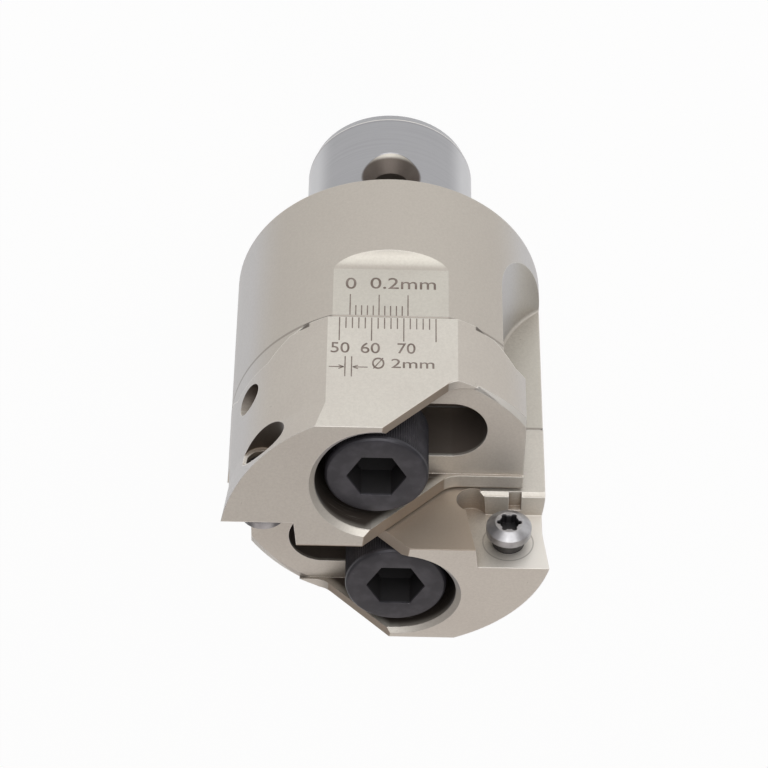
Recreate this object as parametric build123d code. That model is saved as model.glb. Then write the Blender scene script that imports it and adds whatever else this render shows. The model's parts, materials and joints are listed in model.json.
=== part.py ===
"""Twin-cutter boring head: body with pilot, two sliding insert holders and their screws."""

import os
from math import atan, degrees, radians, tan

from build123d import *

# Head body, upright on its pilot, flange face at the origin
BODY_R = 25.0
SLIDE_Z = 31.7
FLAT_Y = 23.3
FLAT_RUN_Z = 20.8
FLAT_RUN_R = 3.7
EDGE_BEVEL = 0.45
PILOT_R = 14.0
PILOT_L = 30.0
PILOT_LEAD = 1.8
PILOT_LEAD_R = 0.6
LOCK_Z = -14.0
LOCK_MOUTH_R = 5.5
LOCK_BORE_R = 3.0
LOCK_DEPTH = 8.0
CENTRE_R = 2.0
CENTRE_MOUTH_R = 4.0
CENTRE_DEPTH = 8.0

# Rail of the slide, one for each holder, set in from the holder's outer radius
RAIL_INSET = 13.25
RAIL_BASE = 17.3
RAIL_TOP = 8.5
RAIL_H = 3.6
SLIDE_GAP = 0.03

# Chip gullet in the body
GULLET_X = 17.85
GULLET_Z = 17.4
GULLET_Y = 0.5
GULLET_R = 18.0
GULLET_FLOOR_R = 0.6

# Insert holder; an inset is measured in from its outer radius
HOLDER_R = 25.4
HOLDER_SHIFT = 0.35
HOLDER_GAP = 0.36
HOLDER_END_INSET = 4.0
END_Z = 59.0
END_SLOPE = 0.118
FLARE_Z = 51.0
FLARE_ANGLE = 7.0
RAMP_X = 3.7
RAMP_ANGLE = 45.0
RAMP_FOOT_R = 4.0
SHELF_Z = 45.6
TRAVEL = 9.5

# Clamp screw, its slot and its seat in the holder
CLAMP_X = 1.75
CLAMP_R = 5.0
CLAMP_HEAD_R = 8.0
CLAMP_HEAD_H = 10.5
CLAMP_HEX = 8.0
CLAMP_HEX_DEPTH = 5.5
CLAMP_HEX_TIP = 1.5
CLAMP_CHAMFER = 0.6
CLAMP_L = 30.0
CLAMP_HOLE_SPARE = 2.0
CLAMP_SEAT_Z = 45.1
CLAMP_SLOT_R = 5.65
CLAMP_SLOT_SPARE = 2.0
CLAMP_POCKET_R = 9.5
CLAMP_RIM = 0.85
CRESCENT_X = 5.2
CRESCENT_REACH = 3.25
CRESCENT_W = 2.0
CRESCENT_H = 1.0

# Adjusting screw, which pushes the holder out from the clamp screw's shank
ADJUST_Z = 39.3
ADJUST_R = 2.5
ADJUST_INSET = 5.62
ADJUST_HEX = 2.5
ADJUST_HEX_DEPTH = 2.5
ADJUST_CHAMFER = 0.3

# Insert pocket, its screw and the recess where the screw's hole comes out; a reach is from the pocket's wall
POCKET_Y = 4.55
POCKET_WALL = 1.1
POCKET_Z = 46.9
POCKET_TAPER = 7.0
POCKET_CORNER = 80.0
POCKET_BEVEL = 0.6
RELIEF_R = 2.5
RELIEF_REACH = 1.15
RELIEF_Z = 48.05
GROOVE_REACH = 7.95
GROOVE_W = 2.0
GROOVE_DEPTH = 0.6
GROOVE_FOOT = 1.0
INSERT_REACH = 6.85
INSERT_Z = 52.9
INSERT_R = 2.5
INSERT_HEAD_R = 3.55
INSERT_TOP_R = 2.2
INSERT_HEAD_TOP = 4.55
INSERT_DOME_H = 0.95
INSERT_BAND_H = 1.25
INSERT_SHORT = 0.4
INSERT_CHAMFER = 0.5
INSERT_LOBE_RING_R = 1.54
INSERT_LOBE_R = 0.43
INSERT_LOBE_DEPTH = 1.8
RECESS_R = 3.2
RECESS_Y = 12.0

# Running clearance of every screw in its hole
SCREW_GAP = 0.03

# Places that follow from the sizes above
RAIL_Y = HOLDER_R - RAIL_INSET
RAIL_Z = SLIDE_Z + RAIL_H
HOLDER_END_X = HOLDER_R - HOLDER_END_INSET
POCKET_X = CLAMP_X + CLAMP_POCKET_R + POCKET_WALL
RELIEF_X = POCKET_X + RELIEF_REACH
GROOVE_X = POCKET_X + GROOVE_REACH
INSERT_X = POCKET_X + INSERT_REACH
ADJUST_X = CLAMP_X + CLAMP_R + SCREW_GAP
ADJUST_L = HOLDER_R - ADJUST_INSET - ADJUST_X
TURN = Rot(0, 0, 180)
SEAM = Rot(0, 0, 45)
UP = (Align.CENTER, Align.CENTER, Align.MIN)
DOWN = (Align.CENTER, Align.CENTER, Align.MAX)
BIG = 4 * BODY_R


def block(x0, x1, y0, y1, z0, z1):
    """A box between two corners."""
    return Pos((x0 + x1) / 2, (y0 + y1) / 2, (z0 + z1) / 2) * Box(x1 - x0, y1 - y0, z1 - z0)


def prism_x(points, x0, x1):
    """A polygon given in Y and Z, drawn out along X."""
    return extrude(Plane.YZ.offset(x0) * Polygon(*points, align=None), amount=x1 - x0, dir=(1, 0, 0))


def prism_y(sketch, y0, y1):
    """A sketch given in X and Z, drawn out along Y."""
    return extrude(Plane.XZ.offset(-y1) * sketch, amount=y1 - y0, dir=(0, -1, 0))


def rod_x(radius, x0, x1, y, z):
    """A round rod along X."""
    return Pos(x0, y, z) * Rot(0, 90, 0) * Cylinder(radius, x1 - x0, align=UP)


def rod_y(radius, y0, y1, x, z):
    """A round rod along Y."""
    return Pos(x, y0, z) * Rot(-90, 0, 0) * Cylinder(radius, y1 - y0, align=UP)


def both(shape):
    """The same shape on both sides of the axis."""
    return shape + TURN * shape


def rail_profile(gap, foot):
    """Cross-section of the front rail, grown by a gap, its foot carried down by a length."""
    base = RAIL_BASE / 2 + gap
    top = RAIL_TOP / 2 + gap
    return [
        (-RAIL_Y - base, SLIDE_Z - foot),
        (-RAIL_Y - base, SLIDE_Z),
        (-RAIL_Y - top, RAIL_Z + gap),
        (-RAIL_Y + top, RAIL_Z + gap),
        (-RAIL_Y + base, SLIDE_Z),
        (-RAIL_Y + base, SLIDE_Z - foot),
    ]


def front_flat():
    """The cutter's sweep that leaves the flat on the front of the body."""
    cut = block(-BODY_R, BODY_R, -2 * BODY_R, -FLAT_Y, FLAT_RUN_Z, 2 * SLIDE_Z)
    run = rod_x(FLAT_RUN_R, -BODY_R, BODY_R, -FLAT_Y - FLAT_RUN_R, FLAT_RUN_Z)
    bevel = prism_x(
        [
            (-FLAT_Y + EDGE_BEVEL, SLIDE_Z),
            (-FLAT_Y - EDGE_BEVEL, SLIDE_Z),
            (-FLAT_Y - EDGE_BEVEL, SLIDE_Z - 2 * EDGE_BEVEL),
        ],
        -BODY_R,
        BODY_R,
    )
    return cut + run + bevel


def gullet():
    """The chip gullet that serves the rear holder's pocket."""
    reach = GULLET_X + GULLET_R
    foot = (-reach, GULLET_Z - GULLET_R)
    wall = (-GULLET_X, GULLET_Z)
    sides = Polyline(foot, (-reach, 2 * SLIDE_Z), (-GULLET_X, 2 * SLIDE_Z), wall)
    cut = prism_y(make_face(sides.edges() + RadiusArc(wall, foot, GULLET_R).edges()), -BIG, GULLET_Y)
    rim = [e for e in cut.edges() if abs(e.center().Y - GULLET_Y) < 0.01 and e.center().X > -reach + 0.1]
    rim = [e for e in rim if e.center().Z < 2 * SLIDE_Z - 0.1]
    return fillet(rim, GULLET_FLOOR_R)


def lock_seat():
    """The conical seat for a clamping screw in the side of the pilot."""
    bore = rod_y(LOCK_BORE_R, -2 * PILOT_R, -PILOT_R + LOCK_DEPTH, 0, LOCK_Z)
    depth = LOCK_MOUTH_R - LOCK_BORE_R
    cone = Cone(LOCK_MOUTH_R + depth, LOCK_BORE_R, 2 * depth, align=UP)
    return bore + Pos(0, -PILOT_R - depth, LOCK_Z) * Rot(-90, 0, 0) * cone


def head_body():
    """Pilot, flanged cylinder, rails, flats and gullets in one piece."""
    cylinder = Cylinder(BODY_R, SLIDE_Z, align=UP)
    cylinder = chamfer(cylinder.edges().filter_by(GeomType.CIRCLE), EDGE_BEVEL)
    rails = both(prism_x(rail_profile(0, 2 * EDGE_BEVEL), -BODY_R, BODY_R))
    body = cylinder + (rails & Cylinder(BODY_R, 2 * RAIL_Z))
    pilot = SEAM * Cylinder(PILOT_R, PILOT_L, align=DOWN)
    lead = pilot.edges().group_by(Axis.Z)[0]
    body += chamfer(lead, PILOT_LEAD, PILOT_LEAD_R)
    body -= both(front_flat())
    body -= both(gullet())
    clamp_depth = RAIL_Z - CLAMP_SEAT_Z + CLAMP_L + CLAMP_HOLE_SPARE
    holes = Pos(CLAMP_X, -RAIL_Y, RAIL_Z) * Cylinder(CLAMP_R + SCREW_GAP, clamp_depth, align=DOWN)
    body -= both(holes)
    centre = Cylinder(CENTRE_R, CENTRE_DEPTH, align=UP)
    centre += Cone(CENTRE_MOUTH_R, CENTRE_R, CENTRE_MOUTH_R - CENTRE_R, align=UP)
    return body - lock_seat() - Pos(0, 0, -PILOT_L) * centre


def holder_blank():
    """Half disc of the front holder with its flare, flat, end relief and inner end."""
    rise = END_Z - FLARE_Z
    low = SLIDE_Z + SLIDE_GAP
    blank = Pos(0, 0, low) * Cylinder(HOLDER_R, FLARE_Z - low, align=UP)
    flare_r = HOLDER_R + rise * tan(radians(FLARE_ANGLE))
    blank += Pos(0, 0, FLARE_Z) * Cone(HOLDER_R, flare_r, rise, align=UP)
    blank = Pos(-HOLDER_SHIFT, 0, 0) * blank
    keep = prism_x(
        [
            (-FLAT_Y, low),
            (-HOLDER_GAP / 2, low),
            (-HOLDER_GAP / 2, END_Z - END_SLOPE * HOLDER_GAP / 2),
            (-FLAT_Y, END_Z - END_SLOPE * FLAT_Y),
        ],
        -HOLDER_END_X,
        BIG,
    )
    return blank & keep


def ramp():
    """Everything above the sloped chip face and the low shelf beside it."""
    run = (END_Z - SHELF_Z) / tan(radians(RAMP_ANGLE))
    lift = 2 * (END_Z - SHELF_Z)
    line = Polyline(
        (-BIG, SHELF_Z + lift),
        (-BIG, SHELF_Z),
        (RAMP_X - run, SHELF_Z),
        (RAMP_X - run + lift / tan(radians(RAMP_ANGLE)), SHELF_Z + lift),
        (-BIG, SHELF_Z + lift),
    )
    cut = prism_y(make_face(line), -BIG, BIG)
    foot = [e for e in cut.edges() if abs(e.center().X - RAMP_X + run) < 0.01]
    return fillet([e for e in foot if abs(e.center().Z - SHELF_Z) < 0.01], RAMP_FOOT_R)


def slot(radius, x0, x1, y, z0, z1):
    """A round-ended slot along X, given by the centres of its ends."""
    cut = block(x0, x1, y - radius, y + radius, z0, z1)
    for x in (x0, x1):
        cut += Pos(x, y, z0) * Cylinder(radius, z1 - z0, align=UP)
    return cut


def holder_cuts():
    """Rail groove, clamp slot and seat, and the adjusting screw's hole."""
    mouth = RAIL_BASE / 2 + 2 * EDGE_BEVEL
    low = SLIDE_Z - EDGE_BEVEL
    bevel = [
        (-RAIL_Y - mouth - EDGE_BEVEL, low),
        (-RAIL_Y - RAIL_BASE / 2, SLIDE_Z + 2 * EDGE_BEVEL),
        (-RAIL_Y + RAIL_BASE / 2, SLIDE_Z + 2 * EDGE_BEVEL),
        (-RAIL_Y + mouth + EDGE_BEVEL, low),
    ]
    cuts = prism_x(rail_profile(SLIDE_GAP, EDGE_BEVEL), -BIG, BIG) + prism_x(bevel, -BIG, BIG)
    inner = CLAMP_X - TRAVEL - CLAMP_SLOT_SPARE
    cuts += slot(CLAMP_SLOT_R, inner, CLAMP_X, -RAIL_Y, SLIDE_Z, END_Z)
    cuts += slot(CLAMP_POCKET_R, -BIG, CLAMP_X, -RAIL_Y, CLAMP_SEAT_Z, 2 * END_Z)
    return cuts + rod_x(ADJUST_R + SCREW_GAP, CLAMP_X, BIG, -RAIL_Y, ADJUST_Z)


def pocket_rim():
    """The bevel round the mouth of the clamp pocket, square to the sloped end."""
    cone = Cone(CLAMP_POCKET_R - CLAMP_RIM, CLAMP_POCKET_R + 2 * CLAMP_RIM, 3 * CLAMP_RIM, align=UP)
    mouth = Pos(CLAMP_X, -RAIL_Y, END_Z - END_SLOPE * RAIL_Y) * Rot(degrees(atan(END_SLOPE)), 0, 0)
    return mouth * Pos(0, 0, -2 * CLAMP_RIM) * cone


def crescent():
    """The bevel on the seat's outer edge, which widens towards the holder's inner end."""
    low = CLAMP_SEAT_Z - CRESCENT_H
    ring_r = HOLDER_R + CRESCENT_REACH
    core = Cone(ring_r + CRESCENT_W, ring_r, CRESCENT_H, align=UP)
    return Pos(0, 0, low) * (Cylinder(BIG, CRESCENT_H, align=UP) - Pos(CRESCENT_X, 0, 0) * core)


def insert_pocket():
    """Tapered seat for a rhombic insert with its corner relief, wall groove and gullet face."""
    lean = tan(radians(90 - POCKET_CORNER))
    corners = [
        (POCKET_X, POCKET_Z),
        (BIG, POCKET_Z),
        (BIG, BIG + POCKET_Z),
        (POCKET_X + lean * BIG, BIG + POCKET_Z),
    ]
    floor = Plane(origin=(0, -POCKET_Y, 0), x_dir=(-1, 0, 0), z_dir=(0, 1, 0))
    outline = Polygon(*[(-x, z) for x, z in reversed(corners)], align=None)
    seat = extrude(floor * outline, amount=2 * POCKET_Y, taper=-POCKET_TAPER)
    seat += rod_y(RELIEF_R, -POCKET_Y, POCKET_Y, RELIEF_X, RELIEF_Z)
    top = POCKET_Z - POCKET_Y * tan(radians(POCKET_TAPER))
    half = GROOVE_W / 2
    foot = -POCKET_Y + GROOVE_FOOT
    seat += block(GROOVE_X - half, GROOVE_X + half, foot, 0, top - GROOVE_DEPTH, POCKET_Z + GROOVE_DEPTH)
    bevel = [
        (-GULLET_Y - POCKET_BEVEL, top),
        (-GULLET_Y + POCKET_BEVEL, top - 2 * POCKET_BEVEL),
        (-GULLET_Y + POCKET_BEVEL, top + POCKET_BEVEL),
    ]
    seat += prism_x(bevel, RELIEF_X + RELIEF_R / 2, BIG)
    face_x = RELIEF_X + RELIEF_R / 2
    return seat + block(face_x, BIG, -GULLET_Y, BIG, 0, BIG)


def insert_holder():
    """Front insert holder at its smallest setting."""
    holder = holder_blank() - ramp() - holder_cuts() - pocket_rim() - crescent() - insert_pocket()
    holder -= rod_y(INSERT_R + SCREW_GAP, -BIG, 0, INSERT_X, INSERT_Z)
    return holder - rod_y(RECESS_R, -BIG, -RECESS_Y, INSERT_X, INSERT_Z)


def clamp_screw():
    """Socket head cap screw that clamps the front holder on its rail."""
    head = Cylinder(CLAMP_HEAD_R, CLAMP_HEAD_H, align=UP)
    head = chamfer(head.edges().group_by(Axis.Z)[-1], CLAMP_CHAMFER)
    socket = extrude(RegularPolygon(CLAMP_HEX / 2, 6, major_radius=False), amount=CLAMP_HEX_DEPTH)
    socket += Cone(CLAMP_HEX / 8, CLAMP_HEX / 2, CLAMP_HEX_TIP, align=DOWN)
    head -= Pos(0, 0, CLAMP_HEAD_H - CLAMP_HEX_DEPTH) * socket
    shank = Cylinder(CLAMP_R, CLAMP_L, align=DOWN)
    return Pos(CLAMP_X, -RAIL_Y, CLAMP_SEAT_Z) * (head + shank)


def adjusting_screw():
    """Set screw that pushes the front holder out from its clamp screw."""
    screw = Cylinder(ADJUST_R, ADJUST_L, align=UP)
    screw = chamfer(screw.edges().group_by(Axis.Z)[-1], ADJUST_CHAMFER)
    socket = extrude(RegularPolygon(ADJUST_HEX / 2, 6, major_radius=False), amount=ADJUST_HEX_DEPTH)
    screw -= Pos(0, 0, ADJUST_L - ADJUST_HEX_DEPTH) * socket
    return Pos(ADJUST_X, -RAIL_Y, ADJUST_Z) * Rot(0, 90, 0) * screw


def insert_screw():
    """Lobed countersunk screw of the front insert pocket, its head left proud."""
    top = INSERT_HEAD_TOP
    sunk = top - INSERT_DOME_H - INSERT_BAND_H
    foot = POCKET_Y - RECESS_Y + INSERT_SHORT
    side = [
        (0, foot),
        (INSERT_R - INSERT_CHAMFER, foot),
        (INSERT_R, foot + INSERT_CHAMFER),
        (INSERT_R, sunk - (INSERT_HEAD_R - INSERT_R)),
        (INSERT_HEAD_R, sunk),
        (INSERT_HEAD_R, top - INSERT_DOME_H),
        (INSERT_TOP_R, top),
        (0, top),
    ]
    screw = revolve(Plane.XZ * Polygon(*side, align=None), Axis.Z)
    lobes = Circle(INSERT_LOBE_RING_R)
    lobes += PolarLocations(INSERT_LOBE_RING_R, 6) * Circle(INSERT_LOBE_R)
    screw -= Pos(0, 0, top - INSERT_LOBE_DEPTH) * extrude(lobes, amount=2 * INSERT_LOBE_DEPTH)
    return Pos(INSERT_X, -POCKET_Y, INSERT_Z) * Rot(-90, 0, 0) * screw


def main():
    """Write every sub-part, the front ones and the same ones turned to the rear."""
    os.makedirs("parts", exist_ok=True)
    export_step(head_body(), "parts/head_body.step")
    pairs = {
        "insert_holder": insert_holder(),
        "clamp_screw": clamp_screw(),
        "adjusting_screw": adjusting_screw(),
        "insert_screw": insert_screw(),
    }
    for name, shape in pairs.items():
        export_step(shape, f"parts/{name}_front.step")
        export_step(TURN * shape, f"parts/{name}_rear.step")


main()
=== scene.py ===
"""Looks of a twin-cutter boring head: finishes, scale marks, cap screws, stage, light, camera."""

import json
import logging
from dataclasses import dataclass, field
from enum import Enum
from math import cos, pi, radians, tau
from typing import Any, Optional, Union

import bmesh
import bpy
from mathutils import Matrix, Vector

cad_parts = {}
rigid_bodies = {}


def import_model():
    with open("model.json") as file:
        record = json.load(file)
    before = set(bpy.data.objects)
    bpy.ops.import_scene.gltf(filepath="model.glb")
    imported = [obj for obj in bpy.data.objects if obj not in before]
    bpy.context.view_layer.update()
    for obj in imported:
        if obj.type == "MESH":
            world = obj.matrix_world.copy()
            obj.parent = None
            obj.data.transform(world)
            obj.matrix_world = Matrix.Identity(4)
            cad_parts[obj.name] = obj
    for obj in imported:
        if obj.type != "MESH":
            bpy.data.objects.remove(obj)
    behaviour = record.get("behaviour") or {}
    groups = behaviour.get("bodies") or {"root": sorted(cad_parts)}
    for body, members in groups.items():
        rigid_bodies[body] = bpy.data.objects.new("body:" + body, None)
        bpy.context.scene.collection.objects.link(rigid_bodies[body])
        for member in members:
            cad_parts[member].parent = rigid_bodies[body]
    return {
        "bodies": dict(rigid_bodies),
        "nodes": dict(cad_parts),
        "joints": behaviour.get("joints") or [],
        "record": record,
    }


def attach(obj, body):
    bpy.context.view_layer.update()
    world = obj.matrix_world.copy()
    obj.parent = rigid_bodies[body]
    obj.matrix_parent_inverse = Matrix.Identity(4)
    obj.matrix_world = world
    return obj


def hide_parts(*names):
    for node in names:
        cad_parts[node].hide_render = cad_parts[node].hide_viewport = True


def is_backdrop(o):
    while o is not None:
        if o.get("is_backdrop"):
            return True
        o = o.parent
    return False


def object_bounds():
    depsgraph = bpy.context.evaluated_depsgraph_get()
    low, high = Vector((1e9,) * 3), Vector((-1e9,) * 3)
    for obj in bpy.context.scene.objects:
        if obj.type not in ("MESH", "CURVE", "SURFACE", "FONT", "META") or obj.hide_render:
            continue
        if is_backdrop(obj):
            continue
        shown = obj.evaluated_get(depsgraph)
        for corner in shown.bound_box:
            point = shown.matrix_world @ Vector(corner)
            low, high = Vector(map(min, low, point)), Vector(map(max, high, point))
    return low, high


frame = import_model()

LOG = logging.getLogger("boring_head")
MM = 0.001
Colour = tuple[float, float, float]
Box = tuple[float, float, float, float]
Socket = bpy.types.NodeSocket
Material = bpy.types.Material


class Side(Enum):
    """The two halves of the head; the rear one is the front one turned half round."""

    FRONT = 0.0
    REAR = 180.0

    @property
    def word(self) -> str:
        """The side's name as it stands in the names of pieces and bodies."""
        return self.name.lower()

    @property
    def turn(self) -> Matrix:
        """The turn about the head's axis that brings the front to this side."""
        return Matrix.Rotation(radians(self.value), 4, "Z")


class Slot(Enum):
    """The material slots of the record."""

    PLATED = "plated_steel"
    BLACK = "black_steel"
    GREY = "grey_steel"


class Value:
    """One number of a shader, which Python's operators work on."""

    def __init__(self, graph: "Graph", socket: Socket) -> None:
        """Wrap a socket of a graph."""
        self.graph = graph
        self.socket = socket

    def __add__(self, other: "Number") -> "Value":
        """This number plus another."""
        return self.graph.math("ADD", self, other)

    __radd__ = __add__

    def __sub__(self, other: "Number") -> "Value":
        """This number less another."""
        return self.graph.math("SUBTRACT", self, other)

    def __rsub__(self, other: "Number") -> "Value":
        """Another number less this one."""
        return self.graph.math("SUBTRACT", other, self)

    def __mul__(self, other: "Number") -> "Value":
        """This number times another."""
        return self.graph.math("MULTIPLY", self, other)

    __rmul__ = __mul__

    def __truediv__(self, other: "Number") -> "Value":
        """This number divided by another."""
        return self.graph.math("DIVIDE", self, other)

    def __rtruediv__(self, other: "Number") -> "Value":
        """Another number divided by this one."""
        return self.graph.math("DIVIDE", other, self)

    def __pow__(self, other: "Number") -> "Value":
        """This number raised to a power."""
        return self.graph.math("POWER", self, other)

    def __abs__(self) -> "Value":
        """This number without its sign."""
        return self.graph.math("ABSOLUTE", self)

    def at_least(self, other: "Number") -> "Value":
        """The larger of this number and another."""
        return self.graph.math("MAXIMUM", self, other)

    def at_most(self, other: "Number") -> "Value":
        """The smaller of this number and another."""
        return self.graph.math("MINIMUM", self, other)

    def ramp(self, low: float, high: float) -> "Value":
        """A soft step between two limits.

        Args:
            low: where the step is 0.
            high: where the step is 1; below low, the step falls.

        Returns:
            The step's height, from 0 to 1.
        """
        falls = low > high
        node = self.graph.node(
            "ShaderNodeMapRange",
            {"interpolation_type": "SMOOTHSTEP", "clamp": True},
            {0: self, 1: min(low, high), 2: max(low, high), 3: float(falls), 4: float(not falls)},
        )
        return Value(self.graph, node.outputs[0])


Number = Union[Value, float]
Place = tuple[Value, Value, Value]


class Graph:
    """The node tree of one material."""

    def __init__(self, name: str) -> None:
        """Start an empty material.

        Args:
            name: the material's name.
        """
        self.material = bpy.data.materials.new(name)
        self.material.use_nodes = True
        self.tree = self.material.node_tree
        self.tree.nodes.clear()

    def node(
        self,
        kind: str,
        settings: Optional[dict[str, Any]] = None,
        inputs: Optional[dict[Union[str, int], Any]] = None,
    ) -> bpy.types.Node:
        """Add a node.

        Args:
            kind: the node's type.
            settings: its settings, set first.
            inputs: the value of each socket, or what is linked to it.

        Returns:
            The new node.
        """
        made = self.tree.nodes.new(kind)
        for name, setting in (settings or {}).items():
            setattr(made, name, setting)
        for key, given in (inputs or {}).items():
            given = given.socket if isinstance(given, Value) else given
            if isinstance(given, Socket):
                self.tree.links.new(given, made.inputs[key])
            else:
                made.inputs[key].default_value = given
        return made

    def math(self, operation: str, *terms: Number) -> Value:
        """Add a sum of numbers.

        Args:
            operation: the Math node's operation.
            terms: the numbers it works on.

        Returns:
            The result.
        """
        node = self.node("ShaderNodeMath", {"operation": operation}, dict(enumerate(terms)))
        return Value(self, node.outputs[0])

    def mix(self, factor: Number, first: Any, second: Any) -> Socket:
        """Mix two colours.

        Args:
            factor: the second colour's share.
            first: a colour or the socket of one.
            second: a colour or the socket of one.

        Returns:
            The mixed colour's socket.
        """
        inputs = {0: factor}
        for key, colour in ((6, first), (7, second)):
            inputs[key] = (*colour, 1.0) if isinstance(colour, tuple) else colour
        return self.node("ShaderNodeMix", {"data_type": "RGBA"}, inputs).outputs[2]

    def blend(self, factor: Number, first: Socket, second: Socket) -> Socket:
        """Mix two vectors.

        Args:
            factor: the second vector's share.
            first: the socket of a vector.
            second: the socket of a vector.

        Returns:
            The mixed vector's socket.
        """
        inputs = {0: factor, 4: first, 5: second}
        return self.node("ShaderNodeMix", {"data_type": "VECTOR"}, inputs).outputs[1]

    def points(self, turn: float = 0.0, stretch: Colour = (1.0, 1.0, 1.0)) -> Socket:
        """Object coordinates in millimetres.

        Args:
            turn: turn about Z, in degrees.
            stretch: factors on the three axes.

        Returns:
            The socket of the coordinates.
        """
        own = self.node("ShaderNodeTexCoord").outputs["Object"]
        scale = tuple(s / MM for s in stretch)
        return self.node(
            "ShaderNodeMapping",
            {"vector_type": "POINT"},
            {"Vector": own, "Rotation": (0.0, 0.0, radians(turn)), "Scale": scale},
        ).outputs[0]

    def split(self, vector: Socket) -> Place:
        """The three numbers of a vector."""
        parts = self.node("ShaderNodeSeparateXYZ", None, {0: vector}).outputs
        return Value(self, parts[0]), Value(self, parts[1]), Value(self, parts[2])

    def noise(self, points: Socket, scale: float, detail: float, rough: float = 0.5) -> Value:
        """Cloudy noise.

        Args:
            points: the coordinates it lies on.
            scale: clouds per millimetre.
            detail: number of finer layers.
            rough: weight of the finer layers.

        Returns:
            The noise, about 0.5.
        """
        inputs = {"Vector": points, "Scale": scale, "Detail": detail, "Roughness": rough}
        return Value(self, self.node("ShaderNodeTexNoise", None, inputs).outputs[0])

    def specks(self, points: Socket, scale: float, size: float, share: float) -> Value:
        """Scattered round specks.

        Args:
            points: the coordinates they lie on.
            scale: cells per millimetre.
            size: a speck's radius as a part of its cell.
            share: the share of cells that hold one.

        Returns:
            1 in a speck and 0 elsewhere.
        """
        cell = self.node("ShaderNodeTexVoronoi", None, {"Vector": points, "Scale": scale})
        chosen = self.split(cell.outputs["Color"])[0].ramp(share + 0.01, share - 0.01)
        return Value(self, cell.outputs["Distance"]).ramp(size, 0.5 * size) * chosen

    def rounded(self, radius: float) -> Socket:
        """Normals that run round the edges, over a radius in millimetres."""
        return self.node("ShaderNodeBevel", {"samples": 6}, {"Radius": radius * MM}).outputs[0]

    def edges(self, radius: float) -> Value:
        """Where the edges are.

        Args:
            radius: how far an edge reaches, in millimetres.

        Returns:
            1 on an edge and 0 on a face.
        """
        flat = self.node("ShaderNodeNewGeometry").outputs["Normal"]
        dot = self.node(
            "ShaderNodeVectorMath", {"operation": "DOT_PRODUCT"}, {0: self.rounded(radius), 1: flat}
        ).outputs["Value"]
        return (1.0 - Value(self, dot)).ramp(0.014, 0.2)

    def openness(self, reach: float) -> Value:
        """How far a place lies open.

        Args:
            reach: how far it looks for other faces, in millimetres.

        Returns:
            0 deep in a corner and 1 on a free face.
        """
        settings = {"samples": 6, "only_local": True}
        node = self.node("ShaderNodeAmbientOcclusion", settings, {"Distance": reach * MM})
        return Value(self, node.outputs["AO"])

    def lean(self) -> Value:
        """How far a face leans away from the eye, 0 when seen square and 1 when seen on edge."""
        node = self.node("ShaderNodeLayerWeight", None, {"Blend": 0.5})
        return Value(self, node.outputs["Facing"])

    def bump(self, height: Number, depth: float, normal: Any = None) -> Socket:
        """Relief on the surface.

        Args:
            height: the relief, from 0 to 1.
            depth: its height in millimetres.
            normal: the normal below it.

        Returns:
            The normal's socket.
        """
        inputs = {"Strength": 1.0, "Distance": depth * MM, "Height": height}
        if normal is not None:
            inputs["Normal"] = normal
        return self.node("ShaderNodeBump", None, inputs).outputs[0]

    def close(self, shader: Socket) -> Material:
        """Link the shader to the output and return the material."""
        self.node("ShaderNodeOutputMaterial", None, {"Surface": shader})
        return self.material

    def metal(self, look: "Look", metallic: float) -> Material:
        """Close the graph with a metal's shader.

        Args:
            look: what changes over the surface.
            metallic: the metal's share.

        Returns:
            The material.
        """
        inputs = {
            "Base Color": look.colour,
            "Roughness": look.rough,
            "Metallic": metallic,
            "Normal": look.normal,
        }
        return self.close(self.node("ShaderNodeBsdfPrincipled", None, inputs).outputs[0])


@dataclass
class Look:
    """What changes over a metal surface while its material is built."""

    colour: Any
    rough: Any
    normal: Any


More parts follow.
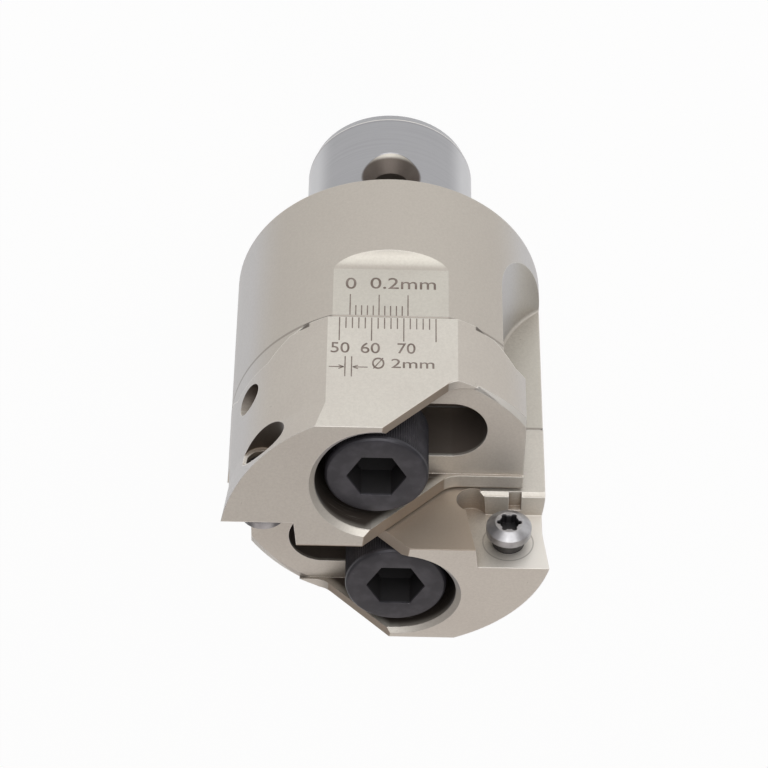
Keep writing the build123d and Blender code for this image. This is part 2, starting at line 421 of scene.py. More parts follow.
@dataclass(frozen=True)
class SatinNickel:
    """Satin nickel over a fine blasted grain, with painted tan shade in its corners, painted shade
    on its turned sides, and edges made bright partly by wear and partly as a painted highlight.
    """

    name: str
    turn: float = 0.0
    tone: Colour = (0.68, 0.65, 0.59)
    warm: Colour = (0.645, 0.61, 0.555)
    # tan of the painted shade in corners, and of a holder's ramp and inner faces
    tan: Colour = (0.355, 0.275, 0.205)
    bright: Colour = (0.86, 0.83, 0.78)
    pit: Colour = (0.22, 0.19, 0.165)
    # painted shade laid on the turned and milled sides
    satin: Colour = (0.45, 0.40, 0.355)
    sheen: Colour = (0.60, 0.60, 0.615)
    # share of painted tan shade in the corners
    stain: float = 0.85
    metallic: float = 0.7
    rough: float = 0.5
    flat_y: float = 23.3
    # share of that painted side shade
    dull: float = 0.5
    cool: float = 0.7
    # share of bright edges, partly wear and partly a painted highlight
    worn: float = 0.85
    worn_w: float = 0.34
    edge_r: float = 0.16
    corner_reach: float = 7.0
    grain_h: float = 0.008

    def turned(self, graph: Graph, points: Socket) -> Value:
        """The turned and milled sides, which take painted shade so that they render darker than the
        flats.

        Args:
            graph: the material's graph.
            points: the coordinates in millimetres.

        Returns:
            1 on the sides and 0 on the flats, the inner planes and the end faces.
        """
        _, across, along = graph.split(graph.node("ShaderNodeTexCoord").outputs["Normal"])
        reach = abs(graph.split(points)[1])
        plane = abs(across).ramp(0.995, 0.999) * reach.ramp(self.flat_y + 0.12, self.flat_y + 0.06)
        return abs(along).ramp(0.4, 0.2) * (1.0 - plane)

    def plating(self, graph: Graph) -> Look:
        """The plating that every face shares.

        Args:
            graph: the material's graph.

        Returns:
            Its colour, roughness and normal.
        """
        points = graph.points(self.turn)
        cloud = graph.noise(points, 0.09, 3.0).ramp(0.2, 0.8)
        grain = graph.noise(points, 7.0, 3.0, 0.65)
        frost = graph.noise(points, 2.6, 3.0, 0.75).ramp(0.3, 0.7)
        pits = graph.specks(points, 0.45, 0.055, 0.22)
        edge = graph.edges(self.worn_w)
        open_face = graph.openness(self.corner_reach)
        corner = open_face.ramp(0.85, 0.3)
        colour = graph.mix(cloud, self.tone, self.warm)
        # Painted shade on the turned and milled sides, darker than the flats.
        colour = graph.mix(self.turned(graph, points) * self.dull, colour, self.satin)
        colour = graph.mix(graph.lean().ramp(0.52, 0.75) * self.cool, colour, self.sheen)
        # Corners take painted tan shade, and more of the dark frost below.
        colour = graph.mix(corner * self.stain, colour, self.tan)
        colour = graph.mix(frost * (0.12 + corner * 0.22), colour, self.pit)
        colour = graph.mix(pits * 0.55, colour, self.pit)
        # Convex edges are brightened, partly as wear and partly as a painted highlight.
        colour = graph.mix(edge * open_face.ramp(0.3, 0.6) * self.worn, colour, self.bright)
        rough = self.rough + (grain - 0.5) * 0.16 + corner * 0.1 - edge * 0.08
        normal = graph.bump((grain + frost) * 0.5, self.grain_h, graph.rounded(self.edge_r))
        return Look(colour, rough, normal)

    def material(self) -> Material:
        """Build the finish as a material."""
        graph = Graph(self.name)
        return graph.metal(self.plating(graph), self.metallic)


@dataclass(frozen=True)
class BodyNickel(SatinNickel):
    """The body's plating, with a ground pilot and painted shade in its lock seat and on its rail
    tops.
    """

    tone: Colour = (0.605, 0.58, 0.52)
    warm: Colour = (0.585, 0.555, 0.50)
    # the body takes little painted corner shade
    stain: float = 0.12
    pilot_r: float = 13.9
    lead_z: float = -28.2
    lock_z: float = -14.0
    lock_r: float = 4.9
    joint_z: float = 31.7
    joint_w: float = 0.45
    rail_z: float = 35.2
    ground: Colour = (0.385, 0.385, 0.40)
    ground_line: Colour = (0.33, 0.33, 0.345)
    ground_shade: Colour = (0.28, 0.275, 0.29)
    # painted shade for the lock seat and the rail tops
    oiled: Colour = (0.085, 0.065, 0.055)

    def pilot(self, graph: Graph, look: Look, at: Place) -> None:
        """Grind the pilot, paint shade and a highlight on its lead chamfer, and paint shade inside
        its lock seat.

        Args:
            graph: the material's graph.
            look: what the material shows so far.
            at: the place on the body, in millimetres.
        """
        x, y, z = at
        radius = (x * x + y * y) ** 0.5
        lead = z.ramp(self.lead_z, self.lead_z - 0.05)
        outside = radius.ramp(self.pilot_r - 0.02, self.pilot_r).at_least(lead)
        pilot = z.ramp(-0.02, -0.06) * outside
        lines = graph.noise(graph.points(0.0, (0.06, 0.06, 5.0)), 1.0, 4.0, 0.6)
        ground = graph.mix(lines.ramp(0.35, 0.75) * 0.6, self.ground, self.ground_line)
        ground = graph.mix(graph.lean().ramp(0.54, 0.72) * 0.8, ground, self.sheen)
        from_lead = z - self.lead_z
        # The lead chamfer is painted darker, a band above its edge takes painted shade, and the
        # edge itself a painted highlight.
        ground = graph.mix(from_lead.ramp(0.05, -0.05) * 0.8, ground, self.ground_line)
        ground = graph.mix(abs(from_lead - 0.3).ramp(0.25, 0.1) * 0.5, ground, self.ground_shade)
        ground = graph.mix(abs(from_lead).ramp(0.16, 0.06) * 0.8, ground, self.bright)
        from_seat = (x * x + (z - self.lock_z) ** 2.0) ** 0.5
        in_seat = from_seat.ramp(self.lock_r + 0.25, self.lock_r - 0.2) * y.ramp(-2.0, -3.0)
        look.colour = graph.mix(pilot, look.colour, ground)
        # Painted shade inside the lock seat.
        look.colour = graph.mix(in_seat * 0.9, look.colour, self.oiled)
        look.rough = look.rough * (1.0 - pilot) + pilot * (0.3 + lines * 0.12)
        look.normal = graph.bump(lines * pilot, 0.0015, look.normal)

    def material(self) -> Material:
        """Build the finish as a material.

        Returns:
            The material.
        """
        graph = Graph(self.name)
        look = self.plating(graph)
        at = graph.split(graph.points())
        z = at[2]
        self.pilot(graph, look, at)
        joint_foot = self.joint_z - self.joint_w
        joint = z.ramp(joint_foot - 0.1, joint_foot) * z.ramp(self.joint_z + 0.05, self.joint_z)
        rail_top = z.ramp(self.rail_z, self.rail_z + 0.05)
        look.colour = graph.mix(joint * 0.6, look.colour, self.pit)
        # Painted shade on the rail tops, seen down the clamp slots.
        look.colour = graph.mix(rail_top * 0.85, look.colour, self.oiled)
        return graph.metal(look, self.metallic)


@dataclass(frozen=True)
class HolderNickel(SatinNickel):
    """A holder's plating, with painted shade in its holes and slot and on its pocket walls, tan
    inner faces, painted light on the insert pocket's floor, a painted highlight on the seat's outer
    edge, and the insert's mark.
    """

    slot_y: float = -12.15
    slot_in: float = -9.75
    slot_out: float = 1.75
    slot_r: float = 5.75
    seat_z: float = 45.1
    pocket_r: float = 9.5
    shelf_z: float = 45.6
    ramp_x: float = 3.7
    end_z: float = 59.0
    end_slope: float = 0.118
    inner_y: float = -0.18
    outer_r: float = 25.4
    outer_x: float = -0.35
    end_x: float = -21.4
    bevel: float = 0.95
    bevel_up: float = 0.4
    screw_x: float = 19.2
    screw_z: float = 52.9
    floor_y: float = -4.55
    ring_r: float = 3.95
    recess_r: float = 3.2
    recess_y: float = -12.0
    adjust_z: float = 39.3
    adjust_r: float = 2.53
    nick_y: float = 8.95
    nick_z: float = 32.65
    # painted shade inside the clamp slot
    oiled: Colour = (0.16, 0.125, 0.105)
    shadow: Colour = (0.068, 0.053, 0.043)

    def clamp_pocket(self, graph: Graph, look: Look, at: Place) -> None:
        """Turn the ramp and the inner faces tan, and paint shade on the walls of the clamp pocket
        and in its slot.

        Args:
            graph: the material's graph.
            look: what the material shows so far.
            at: the place on the holder, in millimetres.
        """
        x, y, z = at
        across = y - self.slot_y
        slope = x + (self.end_z - self.ramp_x)
        ramp = abs(slope - z).ramp(0.1, 0.04) * z.ramp(self.shelf_z, self.shelf_z + 0.6)
        inner = y.ramp(self.inner_y - 0.2, self.inner_y - 0.1)
        depth = slope.at_most(self.end_slope * y + self.end_z) - z
        beyond = (x - self.slot_out).at_least(0.0)
        from_pocket = (beyond * beyond + across * across) ** 0.5
        above_seat = z.ramp(self.seat_z + 0.05, self.seat_z + 0.15)
        wall = abs(from_pocket - self.pocket_r).ramp(0.14, 0.08) * above_seat
        turned = graph.noise(graph.points(self.turn, (0.25, 0.25, 6.0)), 1.0, 3.0, 0.65)
        middle = 0.5 * (self.slot_in + self.slot_out)
        along = (abs(x - middle) - 0.5 * (self.slot_out - self.slot_in)).at_least(0.0)
        from_slot = (along * along + across * across) ** 0.5
        below_seat = z.ramp(self.seat_z - 0.3, self.seat_z - 0.7)
        in_slot = from_slot.ramp(self.slot_r + 0.05, self.slot_r) * below_seat
        look.colour = graph.mix(ramp.at_least(inner) * 0.75, look.colour, self.tan)
        # Painted shade down the clamp pocket's wall, and inside its slot.
        look.colour = graph.mix(wall * depth.ramp(0.4, 2.2) * 0.95, look.colour, self.shadow)
        look.colour = graph.mix(wall * turned.ramp(0.55, 0.8) * 0.2, look.colour, self.bright)
        look.colour = graph.mix(in_slot * 0.85, look.colour, self.oiled)
        look.normal = graph.bump(turned * wall, 0.01, look.normal)

    def holes(self, graph: Graph, look: Look, at: Place) -> None:
        """Mark the insert pocket's floor, paint light on its outer part, and paint shade into the
        holes in the holder's side and darken two nicks.

        Args:
            graph: the material's graph.
            look: what the material shows so far.
            at: the place on the holder, in millimetres.
        """
        x, y, z = at
        from_hole = ((x - self.screw_x) ** 2.0 + (z - self.screw_z) ** 2.0) ** 0.5
        on_floor = abs(y - self.floor_y).ramp(0.08, 0.04)
        ring = abs(from_hole - self.ring_r).ramp(0.16, 0.04) * on_floor
        stain = from_hole.ramp(self.ring_r + 1.2, self.ring_r - 1.2) * on_floor
        recess = from_hole.ramp(self.recess_r + 0.06, self.recess_r + 0.02)
        recess = recess * y.ramp(self.recess_y - 0.05, self.recess_y - 0.2)
        recess = recess * z.ramp(self.screw_z + 1.8, self.screw_z - 2.2)
        across = y - self.slot_y
        from_bore = (across * across + (z - self.adjust_z) ** 2.0) ** 0.5
        bore = from_bore.ramp(self.adjust_r + 0.06, self.adjust_r + 0.02) * x.ramp(6.0, 6.5)
        bore = bore * z.ramp(self.adjust_z + 1.2, self.adjust_z - 1.8)
        nick = abs(abs(across) - self.nick_y).ramp(0.8, 0.65)
        nick = nick * z.ramp(self.nick_z, self.nick_z - 0.15)
        dark = recess.at_least(bore).at_least(nick)
        # Painted light on the outer part of the insert pocket's floor, over its painted corner
        # shade.
        painted_floor_light = on_floor * x.ramp(self.screw_x - 2.0, self.screw_x + 2.5)
        look.colour = graph.mix(painted_floor_light * 0.75, look.colour, self.bright)
        look.colour = graph.mix(stain * 0.1, look.colour, self.pit)
        look.colour = graph.mix(ring * 0.5, look.colour, self.pit)
        # Painted shade in the recess and in the adjusting screw's bore; the two nicks are darkened
        # too.
        look.colour = graph.mix(dark * 0.85, look.colour, self.shadow)

    def outer_bevel(self, graph: Graph, look: Look, at: Place) -> None:
        """Turn the light on the seat's outer edge as a bevel does, and paint a highlight on it.

        Args:
            graph: the material's graph.
            look: what the material shows so far.
            at: the place on the holder, in millimetres.
        """
        x, y, z = at
        out = x - self.outer_x
        radius = (out * out + y * y) ** 0.5
        inset = self.outer_r - radius
        rise = z - self.seat_z
        rim = rise.ramp(-1.05, -0.95) * x.ramp(self.end_x + 0.02, self.end_x + 0.06)
        rim = rim * x.ramp(-11.0, -13.5) * inset.ramp(0.02, 0.05)
        low = rim * rise.ramp(0.0, -0.04) * inset.ramp(3.0, 2.8)
        band = rim * rise.ramp(0.1, 0.05) * inset.ramp(self.bevel, self.bevel - 0.15)
        level = (1.0 - self.bevel_up**2) ** 0.5 * cos(radians(self.turn))
        upright = graph.node("ShaderNodeCombineXYZ", None, {2: 1.0}).outputs[0]
        slant = {0: out / radius * level, 1: y / radius * level, 2: self.bevel_up}
        tilted = graph.node("ShaderNodeCombineXYZ", None, slant).outputs[0]
        # A painted highlight on the bevel's band.
        look.colour = graph.mix(band * 0.8, look.colour, self.bright)
        look.normal = graph.blend(band, graph.blend(low, look.normal, upright), tilted)

    def material(self) -> Material:
        """Build the finish as a material.

        Returns:
            The material.
        """
        graph = Graph(self.name)
        look = self.plating(graph)
        at = graph.split(graph.points(self.turn))
        self.clamp_pocket(graph, look, at)
        self.holes(graph, look, at)
        self.outer_bevel(graph, look, at)
        return graph.metal(look, self.metallic)


@dataclass(frozen=True)
class BlackOxide:
    """Blue-black oxide on steel, rubbed bright on its edges, with painted shade in its hollows and
    in a cap screw's socket.
    """

    name: str
    turn: float = 0.0
    axis: tuple[float, float] = (1.75, -12.15)
    socket_r: float = 4.66
    top_z: float = 55.6
    tone: Colour = (0.038, 0.037, 0.044)
    haze: Colour = (0.062, 0.060, 0.070)
    rubbed: Colour = (0.30, 0.29, 0.29)
    sunk: Colour = (0.014, 0.013, 0.013)
    metallic: float = 0.35
    rough: float = 0.42

    def material(self) -> Material:
        """Build the finish as a material.

        Returns:
            The material.
        """
        graph = Graph(self.name)
        points = graph.points(self.turn)
        x, y, z = graph.split(points)
        from_axis = ((x - self.axis[0]) ** 2.0 + (y - self.axis[1]) ** 2.0) ** 0.5
        below_top = z.ramp(self.top_z - 0.1, self.top_z - 0.6)
        socket = from_axis.ramp(self.socket_r + 0.04, self.socket_r) * below_top
        cloud = graph.noise(points, 0.35, 3.0).ramp(0.35, 0.7)
        grain = graph.noise(points, 9.0, 3.0, 0.6)
        nick = graph.noise(points, 1.1, 4.0, 0.7).ramp(0.56, 0.68)
        edge = graph.edges(0.22)
        colour = graph.mix(cloud, self.tone, self.haze)
        colour = graph.mix(graph.specks(points, 1.2, 0.07, 0.2) * 0.5, colour, self.rubbed)
        # Painted shade in the hollows.
        colour = graph.mix(graph.openness(4.0).ramp(0.75, 0.3) * 0.75, colour, self.sunk)
        colour = graph.mix(edge * (0.12 + nick * 0.75), colour, self.rubbed)
        # Painted shade inside the hexagon socket.
        colour = graph.mix(socket * 0.85, colour, self.sunk)
        rough = self.rough + (grain - 0.5) * 0.25 - edge * nick * 0.1 + socket * 0.3
        normal = graph.bump(grain, 0.006, graph.rounded(0.12))
        return graph.metal(Look(colour, rough, normal), self.metallic)


@dataclass(frozen=True)
class GunMetal:
    """Phosphated gun-metal grey, with edges made bright partly by wear and partly as a painted
    highlight, painted shade in its hollows and star socket, and a painted shadow below an insert
    screw's head.
    """

    name: str
    turn: float = 0.0
    axis: tuple[float, float] = (19.2, 52.9)
    star_r: float = 2.0
    top_y: float = -0.1
    neck_y: float = -2.2
    tone: Colour = (0.46, 0.455, 0.465)
    dark: Colour = (0.20, 0.195, 0.205)
    black: Colour = (0.02, 0.018, 0.018)
    rubbed: Colour = (0.62, 0.61, 0.62)
    metallic: float = 0.8
    rough: float = 0.34

    def material(self) -> Material:
        """Build the finish as a material.

        Returns:
            The material.
        """
        graph = Graph(self.name)
        points = graph.points(self.turn)
        x, y, z = graph.split(points)
        neck = y.ramp(self.neck_y + 0.15, self.neck_y - 0.5)
        from_axis = ((x - self.axis[0]) ** 2.0 + (z - self.axis[1]) ** 2.0) ** 0.5
        below_top = y.ramp(self.top_y, self.top_y - 0.5)
        star = from_axis.ramp(self.star_r + 0.02, self.star_r) * below_top
        cloud = graph.noise(points, 0.6, 3.0).ramp(0.3, 0.7)
        grain = graph.noise(points, 10.0, 3.0, 0.6)
        open_face = graph.openness(1.5)
        edge = graph.edges(0.16) * open_face.ramp(0.4, 0.8)
        colour = graph.mix(cloud * 0.5, self.tone, self.dark)
        # Painted shade in the hollows.
        colour = graph.mix(open_face.ramp(0.8, 0.2), colour, self.dark)
        # Edges brightened, partly as wear and partly as a painted highlight.
        colour = graph.mix(edge * 0.8, colour, self.rubbed)
        # Painted black shadow below the head, and painted shade inside the star socket.
        colour = graph.mix(neck.at_least(star) * 0.88, colour, self.black)
        rough = self.rough + (grain - 0.5) * 0.2 - edge * 0.08
        normal = graph.bump(grain, 0.004, graph.rounded(0.1))
        return graph.metal(Look(colour, rough, normal), self.metallic)


@dataclass(frozen=True)
class EtchedMark:
    """Brown-grey etching of the scale marks, a little uneven."""

    name: str
    tone: Colour = (0.150, 0.115, 0.095)
    faded: Colour = (0.235, 0.195, 0.170)
    rough: float = 0.62

    def material(self) -> Material:
        """Build the finish as a material.

        Returns:
            The material.
        """
        graph = Graph(self.name)
        points = graph.points()
        patch = graph.noise(points, 0.8, 3.0).ramp(0.35, 0.7)
        grain = graph.noise(points, 12.0, 3.0, 0.6)
        colour = graph.mix(patch, self.tone, self.faded)
        rough = self.rough + (grain - 0.5) * 0.2
        return graph.metal(Look(colour, rough, graph.bump(grain, 0.004)), 0.0)


def add_piece(
    name: str, mesh: bpy.types.Mesh, body: str, look: Material
) -> bpy.types.Object:
    """Put a finished mesh in the scene as a piece of the head.

    Args:
        name: the piece's name.
        mesh: its mesh, already in place.
        body: the body it moves with.
        look: its material.

    Returns:
        The new object.
    """
    piece = bpy.data.objects.new(name, mesh)
    bpy.context.scene.collection.objects.link(piece)
    mesh.materials.clear()
    mesh.materials.append(look)
    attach(piece, body)
    LOG.info("%s rides on %s, %d faces", name, body, len(mesh.polygons))
    return piece


def dress_node(name: str, look: Material) -> None:
    """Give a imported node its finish.

    Args:
        name: the node's name.
        look: its material.
    """
    for slot in frame["nodes"][name].material_slots:
        slot.material = look
    LOG.info("%s wears %s", name, look.name)


@dataclass
class ScaleMarks:
    """Ticks and figures etched on one flat, drawn as they are read with the pilot up."""

    name: str
    body: str
    side: Side
    flat_y: float = 23.3
    proud: float = 0.012
    line_w: float = 0.19
    bold: float = 0.004

    def __post_init__(self) -> None:
        """Start an empty mesh."""
        self.bm = bmesh.new()

    def bar(self, u: float, z0: float, z1: float) -> None:
        """Add a line along the head's axis, at u across the flat, from z0 to z1, in millimetres."""
        self.stroke((u, -z0), (u, -z1))

    def stroke(self, start: tuple[float, float], end: tuple[float, float]) -> None:
        """Add a straight line with rounded corners.

        Args:
            start: one end on the flat, in millimetres.
            end: the other end.
        """
        run = Vector(end) - Vector(start)
        place = Matrix.Translation((*(0.5 * (Vector(start) + Vector(end))), 0.0))
        place @= Matrix.Rotation(run.angle_signed(Vector((1.0, 0.0))), 4, "Z")
        place @= Matrix.Diagonal((run.length, self.line_w, 2.0 * self.proud, 1.0))
        made = bmesh.ops.create_cube(self.bm, size=1.0, matrix=place)
        edges = {e for v in made["verts"] for e in v.link_edges}
        bmesh.ops.bevel(
            self.bm,
            geom=[e for e in edges if abs(e.verts[0].co.z - e.verts[1].co.z) > self.proud],
            offset=0.3 * self.line_w,
            affect="EDGES",
            segments=2,
            profile=0.5,
            material=-1,
        )

    def figure(self, text: str, box: Box) -> None:
        """Add figures that fill a box.

        Args:
            text: the figures.
            box: left, right, first and last place along the axis, in millimetres.
        """
        curve = bpy.data.curves.new("figures", "FONT")
        curve.body = text
        curve.extrude = 0.01
        curve.offset = self.bold
        holder = bpy.data.objects.new("figures", curve)
        bpy.context.scene.collection.objects.link(holder)
        bpy.context.view_layer.update()
        shown = holder.evaluated_get(bpy.context.evaluated_depsgraph_get())
        mesh = bpy.data.meshes.new_from_object(shown)
        bpy.data.objects.remove(holder)
        spots = [v.co for v in mesh.vertices]
        low = Vector([min(p[i] for p in spots) for i in range(3)])
        high = Vector([max(p[i] for p in spots) for i in range(3)])
        size = high - low
        left, right, first, last = box
        scale = ((right - left) / size.x, (last - first) / size.y, 2.0 * self.proud / size.z)
        fit = Matrix.Translation((left, -last, -self.proud)) @ Matrix.Diagonal((*scale, 1.0))
        mesh.transform(fit @ Matrix.Translation(-low))
        self.bm.from_mesh(mesh)
        bpy.data.meshes.remove(mesh)

    def finish(self, look: Material) -> bpy.types.Object:
        """Lay the marks on the flat.

        Args:
            look: the etching's material.

        Returns:
            The piece.
        """
        axes = Matrix(((-1, 0, 0, 0), (0, 0, -1, -self.flat_y), (0, -1, 0, 0), (0, 0, 0, 1)))
        mesh = bpy.data.meshes.new(self.name)
        bmesh.ops.recalc_face_normals(self.bm, faces=self.bm.faces)
        self.bm.to_mesh(mesh)
        self.bm.free()
        mesh.transform(self.side.turn @ Matrix.Diagonal((MM, MM, MM, 1.0)) @ axes)
        return add_piece(self.name, mesh, self.body, look)


@dataclass
class HeadBody:
    """The body with its pilot, and the vernier on each of its flats."""

    zero_u: float = -6.35
    pitch: float = 0.905
    divisions: int = 10
    long_every: int = 5
    edge_z: float = 31.25
    short_z: float = 29.0
    long_z: float = 26.45
    zero_box: Box = (-7.12, -5.43, 22.6, 25.2)
    value_box: Box = (-3.23, 7.09, 22.45, 25.05)

    def build(self, mark: Material) -> None:
        """Dress the body and etch its verniers.

        Args:
            mark: the etching's material.
        """
        dress_node("head_body", BodyNickel("satin_nickel_body").material())
        for side in Side:
            marks = ScaleMarks(f"vernier_marks_{side.word}", "head", side)
            for i in range(self.divisions + 1):
                top = self.long_z if i % self.long_every == 0 else self.short_z
                marks.bar(self.zero_u + i * self.pitch, self.edge_z, top)
            marks.figure("0", self.zero_box)
            marks.figure("0.2mm", self.value_box)
            marks.finish(mark)


@dataclass
class InsertHolder:
    """A sliding insert holder with the main scale on its flat."""

    side: Side
    first_u: float = -7.93
    pitch: float = 1.0
    divisions: int = 15
    long_every: int = 5
    edge_z: float = 31.8
    short_z: float = 34.3
    long_z: float = 37.1
    figures: tuple[tuple[str, Box], ...] = (
        ("50", (-9.2, -6.3, 37.55, 39.9)),
        ("60", (-4.57, -1.6, 37.55, 39.9)),
        ("70", (1.1, 3.89, 37.5, 39.85)),
        ("Ø", (-2.79, -0.87, 40.85, 43.4)),
        ("2mm", (0.17, 6.81, 41.05, 43.1)),
    )
    gauge_u: tuple[float, float] = (-6.93, -5.93)
    gauge_z: tuple[float, float] = (40.7, 45.2)
    arrow_z: float = 43.05
    arrow_l: float = 2.3
    arrow_head: float = 0.8
    arrow_gap: float = 0.2

    def build(self, mark: Material) -> None:
        """Dress the holder and etch its scale.

        Args:
            mark: the etching's material.
        """
        word = self.side.word
        look = HolderNickel(f"satin_nickel_holder_{word}", self.side.value)
        dress_node(f"insert_holder_{word}", look.material())
        marks = ScaleMarks(f"scale_marks_{word}", f"holder_{word}", self.side)
        for i in range(self.divisions + 1):
            foot = self.long_z if i % self.long_every == 0 else self.short_z
            marks.bar(self.first_u + i * self.pitch, self.edge_z, foot)
        for text, box in self.figures:
            marks.figure(text, box)
        for u, way in zip(self.gauge_u, (-1.0, 1.0)):
            marks.bar(u, *self.gauge_z)
            tip = (u + self.arrow_gap * way, -self.arrow_z)
            marks.stroke(tip, (tip[0] + way * self.arrow_l, tip[1]))
            for rise in (-0.5, 0.5):
                marks.stroke(tip, (tip[0] + way * self.arrow_head, tip[1] + rise * self.arrow_head))
        marks.finish(mark)


@dataclass
class ClampScrew:
    """A socket head cap screw with a knurled head and a cut thread, in place of the plain one."""

    side: Side
    axis: tuple[float, float] = (1.75, -12.15)
    seat_z: float = 45.1
    head_r: float = 8.0
    head_h: float = 10.5
    ring_share: float = 0.68
    rim: float = 0.75
    foot: float = 0.35
    land: float = 0.35
    flutes: int = 120
    flute_depth: float = 0.13
    hex_across: float = 8.0
    hex_depth: float = 5.5
    hex_tip: float = 1.6
    hex_bevel: float = 0.1
    shank_r: float = 5.0
    grip_l: float = 9.0
    shank_l: float = 30.0
    pitch: float = 1.5
    thread_depth: float = 0.8
    runout: float = 0.6
    end_bevel: float = 0.3
    shank_steps: int = 48
    thread_steps: int = 36
    sharp_deg: float = 28.0

    def spun(
        self, bm: bmesh.types.BMesh, profile: list[tuple[float, float]], steps: int
    ) -> list[bmesh.types.BMVert]:
        """Spin a profile about the screw's axis.

        Args:
            bm: the mesh it goes into.
            profile: radius and height of each corner.
            steps: number of steps of the full turn.

        Returns:
            The vertices that the spin made, the profile's own ones first.
        """
        before = set(bm.verts)
        verts = [bm.verts.new((r, 0.0, z)) for r, z in profile]
        edges = [bm.edges.new(pair) for pair in zip(verts, verts[1:])]
        bmesh.ops.spin(
            bm,
            geom=verts + edges,
            cent=(0.0, 0.0, 0.0),
            axis=(0.0, 0.0, 1.0),
            angle=tau,
            steps=steps,
            use_merge=True,
        )
        return [v for v in bm.verts if v not in before]

    def head(self, bm: bmesh.types.BMesh) -> None:
        """Build the knurled head with a hexagon socket.

        Args:
            bm: the mesh it goes into.
        """
        ring_r = self.ring_share * self.head_r
        arc = [
            (self.head_r - self.rim * (1 - cos(a)), self.head_h - self.rim * (1 - cos(pi / 2 - a)))
            for a in (pi / 2, pi / 3, pi / 6, 0.0)
        ]
        low = [(self.head_r, self.foot), (self.head_r - self.foot, 0.0), (self.shank_r, 0.0)]
        land_z = (self.head_h - self.rim - self.land, self.foot + self.land)
        land = [(self.head_r, z) for z in land_z]
        steps = 2 * self.flutes
        made = self.spun(bm, [(ring_r, self.head_h), *arc, *land, *low], steps)
        for v in made:
            turn = Vector((1.0, 0.0)).angle_signed(v.co.xy, 0.0) if v.co.xy.length > 0.1 else 0.0
            if v.co.xy.length > self.head_r - 0.01 and round(turn / (tau / steps)) % 2:
                if land_z[1] - 0.01 < v.co.z < land_z[0] + 0.01:
                    v.co.xy *= 1.0 - self.flute_depth / self.head_r
        self.socket(bm, ring_r)

    def socket(self, bm: bmesh.types.BMesh, ring_r: float) -> None:
        """Sink the hexagon socket and close the face round it.

        Args:
            bm: the mesh it goes into.
            ring_r: radius of the open ring in the head's face.
        """
        rims = [e for e in bm.edges if e.is_boundary]
        ring = [e for e in rims if all(abs(v.co.xy.length - ring_r) < 0.01 for v in e.verts)]
        corner_r = 0.5 * self.hex_across / cos(pi / 6)
        place = Matrix.Translation((0.0, 0.0, self.head_h)) @ Matrix.Rotation(pi / 2, 4, "Z")
        mouth = bmesh.ops.create_circle(bm, segments=6, radius=corner_r, matrix=place)["verts"]
        mouth_edges = list({e for v in mouth for e in v.link_edges})
        bmesh.ops.triangle_fill(bm, use_beauty=True, edges=ring + mouth_edges)
        walls = bmesh.ops.extrude_edge_only(bm, edges=mouth_edges)["geom"]
        deep = [v for v in walls if isinstance(v, bmesh.types.BMVert)]
        bmesh.ops.translate(bm, verts=deep, vec=(0.0, 0.0, -self.hex_depth))
        wall_edges = [e for e in walls if isinstance(e, bmesh.types.BMEdge)]
        floor = [e for e in wall_edges if all(v in deep for v in e.verts)]
        cone = bmesh.ops.extrude_edge_only(bm, edges=floor)["geom"]
        tip = [v for v in cone if isinstance(v, bmesh.types.BMVert)]
        tip_z = self.head_h - self.hex_depth - self.hex_tip
        bmesh.ops.pointmerge(bm, verts=tip, merge_co=(0.0, 0.0, tip_z))
        bmesh.ops.bevel(
            bm,
            geom=mouth_edges,
            offset=self.hex_bevel,
            affect="EDGES",
            segments=2,
            profile=0.5,
            material=-1,
        )

    def shank(self, bm: bmesh.types.BMesh) -> None:
        """Build the shank and its helical thread.

        Args:
            bm: the mesh it goes into.
        """
        root = self.shank_r - self.thread_depth
        end = -self.shank_l
        core = [
            (self.shank_r, 0.0),
            (self.shank_r, -self.grip_l),
            (root, -self.grip_l - self.runout),
            (root, end + self.end_bevel),
            (root - self.end_bevel, end),
            (0.0, end),
        ]
        self.spun(bm, core, self.shank_steps)
        turns = int((self.shank_l - self.grip_l - 2.0) / self.pitch)
        top = -self.grip_l - self.runout - 0.2
        ridge = [
            (root, top),
            (self.shank_r, top - 0.44 * self.pitch),
            (self.shank_r, top - 0.56 * self.pitch),
            (root, top - self.pitch),
        ]
        verts = [bm.verts.new((r, 0.0, z)) for r, z in ridge]
        edges = [bm.edges.new(pair) for pair in zip(verts, verts[1:])]
        bmesh.ops.spin(
            bm,
            geom=verts + edges,
            cent=(0.0, 0.0, 0.0),
            axis=(0.0, 0.0, 1.0),
            dvec=(0.0, 0.0, -self.pitch / self.thread_steps),
            angle=tau * turns,
            steps=self.thread_steps * turns,
        )

    def build(self, look: Material) -> None:
        """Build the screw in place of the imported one.

        Args:
            look: the oxide's material.
        """
        word = self.side.word
        bm = bmesh.new()
        self.head(bm)
        self.shank(bm)
        bmesh.ops.remove_doubles(bm, verts=bm.verts, dist=0.002)
        bmesh.ops.recalc_face_normals(bm, faces=bm.faces)
        mesh = bpy.data.meshes.new(f"cap_screw_{word}")
        bm.to_mesh(mesh)
        bm.free()
        place = Matrix.Translation((*self.axis, self.seat_z))
        mesh.transform(self.side.turn @ Matrix.Diagonal((MM, MM, MM, 1.0)) @ place)
        piece = add_piece(f"cap_screw_{word}", mesh, f"clamp_{word}", look)
        mesh.shade_smooth()
        mesh.set_sharp_from_angle(angle=radians(self.sharp_deg))
        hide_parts(f"clamp_screw_{word}")


@dataclass
class SmallScrews:
    """The adjusting screw and the insert screw of one side."""

    side: Side

    def build(self, black: Material) -> None:
        """Dress both screws.

        Args:
            black: the adjusting screw's material.
        """
        word = self.side.word
        dress_node(f"adjusting_screw_{word}", black)
        grey = GunMetal(f"gun_metal_{word}", self.side.value).material()
        dress_node(f"insert_screw_{word}", grey)


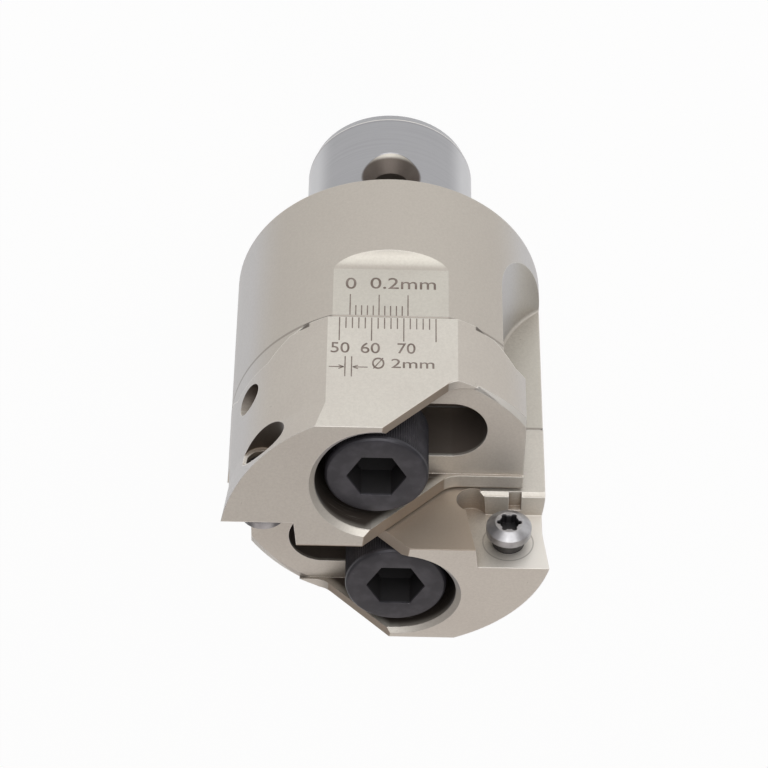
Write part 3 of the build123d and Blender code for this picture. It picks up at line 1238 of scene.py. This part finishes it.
@dataclass
class Lamp:
    """A square soft lamp."""

    name: str
    place: tuple[float, float, float]
    size: float
    level: float
    tint: Colour = (1.0, 1.0, 1.0)

    def build(self, aim: Vector) -> None:
        """Hang the lamp and turn it to its aim.

        Args:
            aim: the point it lights, in metres.
        """
        data = bpy.data.lights.new(self.name, "AREA")
        data.shape = "SQUARE"
        data.size = self.size
        data.energy = self.level * pi * self.size**2
        data.color = self.tint
        lamp = bpy.data.objects.new(self.name, data)
        lamp.location = self.place
        lamp.rotation_euler = (aim - lamp.location).to_track_quat("-Z", "Y").to_euler()
        bpy.context.scene.collection.objects.link(lamp)


@dataclass
class Studio:
    """Pale floor, soft surround and lamps."""

    floor_half: float = 3.0
    floor_z: float = -0.03
    paper: Colour = (0.95, 0.95, 0.95)
    white_share: float = 0.95
    surround: Colour = (0.26, 0.245, 0.24)
    lamps: list[Lamp] = field(
        default_factory=lambda: [
            Lamp("key", (-0.05, -0.60, 0.18), 0.66, 1.75),
            Lamp("front", (-0.10, -0.50, 0.62), 0.62, 1.45),
            Lamp("top", (0.0, 0.66, 0.48), 0.90, 0.68, (1.0, 0.93, 0.9)),
        ]
    )

    def floor(self) -> None:
        """Lay the floor, white to the eye and in reflections, with the head's shadow kept."""
        bm = bmesh.new()
        bmesh.ops.create_grid(bm, x_segments=8, y_segments=8, size=self.floor_half)
        mesh = bpy.data.meshes.new("floor")
        bm.to_mesh(mesh)
        bm.free()
        mesh.transform(Matrix.Translation((0.0, 0.0, self.floor_z)))
        floor = bpy.data.objects.new("floor", mesh)
        bpy.context.scene.collection.objects.link(floor)
        graph = Graph("floor_paper")
        rays = graph.node("ShaderNodeLightPath").outputs
        seen = Value(graph, rays["Is Camera Ray"]).at_least(Value(graph, rays["Is Glossy Ray"]))
        seen = seen.at_least(Value(graph, rays["Is Transmission Ray"]))
        matt = graph.node("ShaderNodeBsdfDiffuse", None, {"Color": (*self.paper, 1.0)}).outputs[0]
        glow = {"Color": (1.0, 1.0, 1.0, 1.0), "Strength": 1.0}
        white = graph.node("ShaderNodeEmission", None, glow).outputs[0]
        ends = {0: seen * self.white_share, 1: matt, 2: white}
        shader = graph.node("ShaderNodeMixShader", None, ends)
        mesh.materials.append(graph.close(shader.outputs[0]))
        floor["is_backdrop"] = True

    def world(self) -> None:
        """Set the plain surround."""
        world = bpy.data.worlds.new("surround")
        world.use_nodes = True
        back = world.node_tree.nodes["Background"]
        back.inputs["Color"].default_value = (*self.surround, 1.0)
        back.inputs["Strength"].default_value = 1.0
        bpy.context.scene.world = world

    def build(self, aim: Vector) -> None:
        """Build the stage.

        Args:
            aim: the point that the lamps light.
        """
        self.floor()
        self.world()
        for lamp in self.lamps:
            lamp.build(aim)
        bpy.context.scene.view_settings.view_transform = "Standard"


@dataclass
class PhotoCamera:
    """The photograph's camera, above the cutting end and turned so that the pilot is up."""

    place: tuple[float, float, float] = (5.57, -393.24, 434.86)
    right: tuple[float, float, float] = (-0.99974, -0.02133, -0.00832)
    up: tuple[float, float, float] = (0.02118, -0.72359, -0.68991)
    focal_px: float = 3511.878
    frame_px: float = 768.0
    sensor: float = 36.0

    def build(self) -> None:
        """Set the camera up and make it the scene's own."""
        data = bpy.data.cameras.new("photo_camera")
        data.sensor_width = self.sensor
        data.lens = self.sensor * self.focal_px / self.frame_px
        right = Vector(self.right).normalized()
        back = right.cross(Vector(self.up)).normalized()
        axes = Matrix((right, back.cross(right), back)).transposed()
        camera = bpy.data.objects.new("photo_camera", data)
        camera.matrix_world = Matrix.Translation(Vector(self.place) * MM) @ axes.to_4x4()
        bpy.context.scene.collection.objects.link(camera)
        bpy.context.scene.camera = camera


def clear_stage() -> None:
    """Remove whatever stood in the scene before the head was loaded."""
    kept = {o.name for group in ("nodes", "bodies") for o in frame[group].values()}
    for thing in [o for o in bpy.data.objects if o.name not in kept]:
        bpy.data.objects.remove(thing)


def main() -> None:
    """Build the dressed head in order."""
    logging.basicConfig(level=logging.INFO, format="%(name)s: %(message)s")
    clear_stage()
    cad_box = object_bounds()
    mark = EtchedMark("etched_mark").material()
    HeadBody().build(mark)
    for side in Side:
        black = BlackOxide(f"black_oxide_{side.word}", side.value).material()
        InsertHolder(side).build(mark)
        ClampScrew(side).build(black)
        SmallScrews(side).build(black)
    Studio().build(0.5 * (cad_box[0] + cad_box[1]))
    PhotoCamera().build()


if __name__ == "__main__":
    main()
